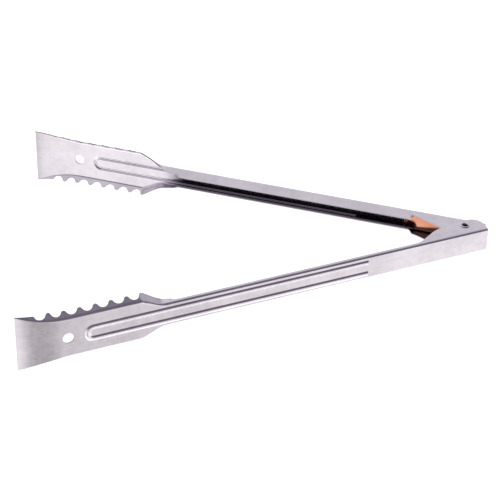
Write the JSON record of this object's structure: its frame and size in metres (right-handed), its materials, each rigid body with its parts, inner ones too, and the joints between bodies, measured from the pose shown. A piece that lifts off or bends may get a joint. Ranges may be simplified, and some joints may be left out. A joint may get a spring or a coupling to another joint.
{
  "type": "spring loaded kitchen tongs",
  "caption": "Spring loaded kitchen tongs with two pressed sheet arms, scalloped jaws, a tubular hinge rivet and a leaf spring that holds them open.",
  "frame": {"origin": "centre of the rivet's bore, midway between the two outer ears", "axes": "+Z along the rivet, -X towards the jaws along the middle plane, -Y towards the outer arm and +Y towards the inner arm"},
  "size_m": [0.2876, 0.2182, 0.0372],
  "materials": {
    "arm_steel": "satin",
    "inner_arm_steel": "satin",
    "rivet_steel": "bright",
    "spring_copper": "bright copper colour"
  },
  "bodies": {
    "outer": {"outer_arm": "arm_steel", "hinge_rivet": "rivet_steel", "spring": "spring_copper"},
    "inner": {"inner_arm": "inner_arm_steel"}
  },
  "joints": [
    {"name": "squeeze", "type": "hinge", "parent": "outer", "child": "inner", "pos_m": [0, 0, 0], "axis": [0, 0, 1], "range_deg": [0, 43], "stiffness_Nm_per_rad": 1.2, "springref_deg": -11.46, "deforming": ["spring"]}
  ]
}
